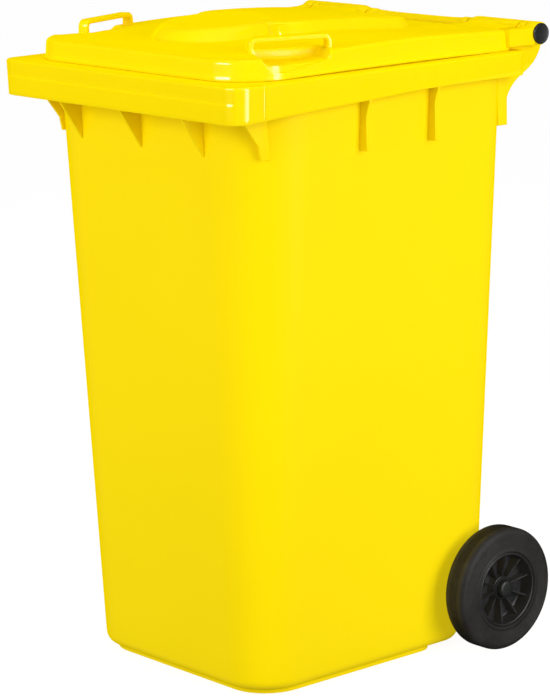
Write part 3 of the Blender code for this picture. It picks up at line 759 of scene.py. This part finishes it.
def yellow_plastic():
    """Injection-moulded polyethylene: fine grain, slow sink marks and slight colour drift."""
    p = Paint("yellow_polyethylene")
    drift = p.noise(3.1, 3.0)
    fine = p.noise(160.0, 2.0)
    base = p.mix(p.ramp(drift, 0.3, 0.7, 0.0, 1.0), (0.985, 0.745, 0.0), (0.965, 0.722, 0.0))
    scuff = p.ramp(p.noise(38.0, 6.0, 0.7), 0.68, 0.82, 0.0, 0.10)
    colour = p.mix(scuff, base, (0.93, 0.74, 0.03))
    p.link(colour, p.shader.inputs["Base Color"])
    place_z = p.add("ShaderNodeSeparateXYZ")
    p.link(p.coords.outputs["Object"], place_z.inputs["Vector"])
    polish = polished(p, place_z)
    grain = p.add("ShaderNodeMath", operation="MULTIPLY_ADD")
    grain.inputs[1].default_value = -0.33
    p.link(polish, grain.inputs[0])
    p.link(p.ramp(fine, 0.3, 0.7, 0.42, 0.50), grain.inputs[2])
    p.link(grain.outputs[0], p.shader.inputs["Roughness"])
    edge = p.add("ShaderNodeLayerWeight")
    edge.inputs["Blend"].default_value = 0.5
    gloss = p.ramp(edge.outputs["Facing"], 0.52, 0.73, 0.5, 0.0)
    level = p.add("ShaderNodeMath", operation="MULTIPLY")
    p.link(gloss, level.inputs[0])
    p.link(p.ramp(polish, 0.0, 1.0, 0.12, 1.0), level.inputs[1])
    p.link(level.outputs[0], p.shader.inputs["Specular IOR Level"])
    waves = p.bump(p.noise(9.0, 1.0), 0.05, 0.002)
    p.link(p.bump(fine, 0.03, 0.0003, waves), p.shader.inputs["Normal"])
    p.shader.inputs["IOR"].default_value = 1.5
    return p.material


def black_rubber(name):
    """Matt rubber with a fine grain and dusty patches."""
    p = Paint(name)
    dust = p.ramp(p.noise(22.0, 5.0, 0.6), 0.35, 0.75, 0.0, 1.0)
    colour = p.mix(dust, (0.016, 0.015, 0.014), (0.029, 0.027, 0.025))
    p.link(colour, p.shader.inputs["Base Color"])
    p.link(p.ramp(p.noise(120.0, 3.0), 0.3, 0.7, 0.50, 0.68), p.shader.inputs["Roughness"])
    p.link(p.bump(p.noise(420.0, 2.0), 0.25, 0.0004), p.shader.inputs["Normal"])
    p.shader.inputs["Specular IOR Level"].default_value = 0.3
    return p.material


def black_plastic(name, rough_low, rough_high, tone):
    """Satin moulded black plastic with a fine grain."""
    p = Paint(name)
    patches = p.ramp(p.noise(30.0, 4.0), 0.35, 0.7, 0.0, 1.0)
    colour = p.mix(patches, (tone, tone, tone * 1.04), (tone * 1.6, tone * 1.55, tone * 1.55))
    p.link(colour, p.shader.inputs["Base Color"])
    roughness = p.ramp(p.noise(210.0, 3.0), 0.3, 0.7, rough_low, rough_high)
    p.link(roughness, p.shader.inputs["Roughness"])
    p.link(p.bump(p.noise(500.0, 2.0), 0.15, 0.0003), p.shader.inputs["Normal"])
    return p.material


def zinc(name, tone):
    """Zinc-plated steel, slightly clouded, with fine scratches."""
    p = Paint(name)
    cloud = p.ramp(p.noise(45.0, 5.0, 0.6), 0.35, 0.7, 0.0, 1.0)
    colour = p.mix(cloud, tuple(tone), tuple(c * 0.8 for c in tone))
    p.link(colour, p.shader.inputs["Base Color"])
    p.link(p.ramp(p.noise(260.0, 4.0, 0.7), 0.3, 0.7, 0.38, 0.55), p.shader.inputs["Roughness"])
    p.link(p.bump(p.noise(600.0, 3.0), 0.12, 0.0002), p.shader.inputs["Normal"])
    p.shader.inputs["Metallic"].default_value = 0.85
    return p.material


def coat(thing, material):
    """Make a material a piece's only one."""
    thing.data.materials.clear()
    thing.data.materials.append(material)


def dress(thing, material, body, replaced):
    """Give a piece its material, its body and the node it stands for."""
    coat(thing, material)
    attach(thing, body)
    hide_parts(replaced)


def build_object():
    """All visible pieces."""
    yellow = yellow_plastic()
    tub_parts = [tub_shell(), foot_ring(), *gussets(), *ears_and_handle(), *axle_seats()]
    body = merged("tub_moulding", tub_parts)
    dress(body, yellow, "root", "body")
    lid = merged("lid_moulding", lid_parts())
    dress(lid, yellow, "lid", "lid")
    cap = black_plastic("cap_plastic", 0.30, 0.42, 0.014)
    rim_plastic = black_plastic("rim_plastic", 0.34, 0.48, 0.014)
    rubber = black_rubber("tyre_rubber")
    plate = zinc("zinc_plate", (0.07, 0.075, 0.07))
    steel = zinc("axle_steel", (0.50, 0.51, 0.50))
    for side, word in ((-1, "left"), (1, "right")):
        pin = merged(f"{word}_pin", [turned(pin_profile(), side, AXIS, 96)])
        dress(pin, cap, "lid", f"hinge_pin_{word}")
        tyre = merged(f"{word}_rubber_tyre",
                      [turned(tyre_profile(), side, WHEEL, 160, closed=True)])
        dress(tyre, rubber, f"wheel_{word}", f"{word}_tyre")
        centre = merged(f"{word}_wheel_centre", rim_parts(side))
        dress(centre, rim_plastic, f"wheel_{word}", f"{word}_wheel_rim")
        for thing in (tyre, centre):
            thing.visible_diffuse = False
        cover = merged(f"{word}_cap", [turned(axle_cap_profile(), side, WHEEL, 96)])
        dress(cover, plate, "root", f"{word}_axle_cap")
        for node in ("inner_washer", "outer_washer", "axle_lock_ring"):
            coat(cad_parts[f"{word}_{node}"], plate)
    coat(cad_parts["axle"], steel)


# ---------------------------------------------------------------- stage


def area_light(name, azimuth, elevation, distance, width, height, power, aim_z, glint=False):
    """A softbox in the given direction from the object, for highlights or else for soft light."""
    lamp = bpy.data.lights.new(name, "AREA")
    lamp.shape = "RECTANGLE"
    lamp.size = width
    lamp.size_y = height
    lamp.energy = power
    thing = bpy.data.objects.new(name, lamp)
    bpy.context.scene.collection.objects.link(thing)
    a, e = radians(azimuth), radians(elevation)
    away = Vector((sin(a) * cos(e), -cos(a) * cos(e), sin(e)))
    thing.location = Vector((0, 0, aim_z)) + away * distance
    thing.rotation_euler = (-away).to_track_quat("-Z", "Y").to_euler()
    thing.visible_camera = False
    thing.visible_diffuse = not glint
    thing.visible_glossy = glint


def build_stage():
    """A pale floor, a white room and soft lights."""
    bm = bmesh.new()
    bmesh.ops.create_grid(bm, x_segments=1, y_segments=1, size=30.0)
    bmesh.ops.recalc_face_normals(bm, faces=bm.faces)
    floor = new_object("floor", bm)
    floor.location.z = -0.0002
    p = Paint("pale_floor")
    p.shader.inputs["Base Color"].default_value = (FLOOR_TONE, FLOOR_TONE, FLOOR_TONE, 1.0)
    p.shader.inputs["Roughness"].default_value = 1.0
    p.shader.inputs["Specular IOR Level"].default_value = 0.0
    p.shader.inputs["Emission Color"].default_value = (1.0, 1.0, 1.0, 1.0)
    p.shader.inputs["Emission Strength"].default_value = FLOOR_GLOW
    floor.data.materials.append(p.material)
    floor.visible_diffuse = False
    floor.visible_glossy = False

    world = bpy.data.worlds.new("white_room")
    bpy.context.scene.world = world
    world.use_nodes = True
    tree = world.node_tree
    shade = tree.nodes["Background"]
    shade.inputs["Color"].default_value = (1.0, 1.0, 1.0, 1.0)
    paths = tree.nodes.new("ShaderNodeLightPath")
    seen = tree.nodes.new("ShaderNodeMath")
    seen.operation = "MULTIPLY_ADD"
    seen.inputs[1].default_value = ROOM_SEEN
    seen.inputs[2].default_value = ROOM_GLOSS
    soft = tree.nodes.new("ShaderNodeMath")
    soft.operation = "MULTIPLY_ADD"
    soft.inputs[1].default_value = ROOM_LIGHT
    tree.links.new(paths.outputs["Is Camera Ray"], seen.inputs[0])
    tree.links.new(paths.outputs["Is Diffuse Ray"], soft.inputs[0])
    tree.links.new(seen.outputs[0], soft.inputs[2])
    tree.links.new(soft.outputs[0], shade.inputs["Strength"])

    area_light("left_wash", -4, 15, 3.3, 2.2, 2.4, 60, 0.6)
    area_light("right_wash", 98, 12, 3.3, 1.8, 2.4, 71, 0.6)
    area_light("top_wash", 49, 84, 2.6, 2.0, 2.0, 20, 0.5)
    area_light("left_glint", -5, 25, 3.2, 1.5, 0.9, 70, 0.95, glint=True)
    area_light("right_glint", 103, 4, 3.2, 0.8, 2.8, 60, 0.95, glint=True)


def build_camera():
    """The camera at the viewing angle of the reference, with its slight roll."""
    azimuth, elevation, roll = radians(VIEW_AZIMUTH), radians(VIEW_ELEVATION), radians(VIEW_ROLL)
    toward = Vector((sin(azimuth) * cos(elevation), -cos(azimuth) * cos(elevation), sin(elevation)))
    right = Vector((cos(azimuth), sin(azimuth), 0.0))
    up = toward.cross(right)
    turned_right = right * cos(roll) + up * sin(roll)
    turned_up = up * cos(roll) - right * sin(roll)
    camera = bpy.data.objects.new("camera", bpy.data.cameras.new("camera"))
    bpy.context.scene.collection.objects.link(camera)
    rotation = Matrix((turned_right, turned_up, toward)).transposed()
    camera.matrix_world = Matrix.Translation(CAMERA_PLACE) @ rotation.to_4x4()
    camera.data.sensor_fit = "HORIZONTAL"
    camera.data.sensor_width = SENSOR_WIDTH
    camera.data.lens = FOCAL_LENGTH
    camera.data.shift_x, camera.data.shift_y = LENS_SHIFT
    camera.data.clip_end = 100.0
    bpy.context.scene.camera = camera


build_object()
build_stage()
build_camera()
scene = bpy.context.scene
scene.view_settings.view_transform = "Standard"
scene.view_settings.look = "None"
scene.view_settings.exposure = 0.0
bpy.context.view_layer.update()
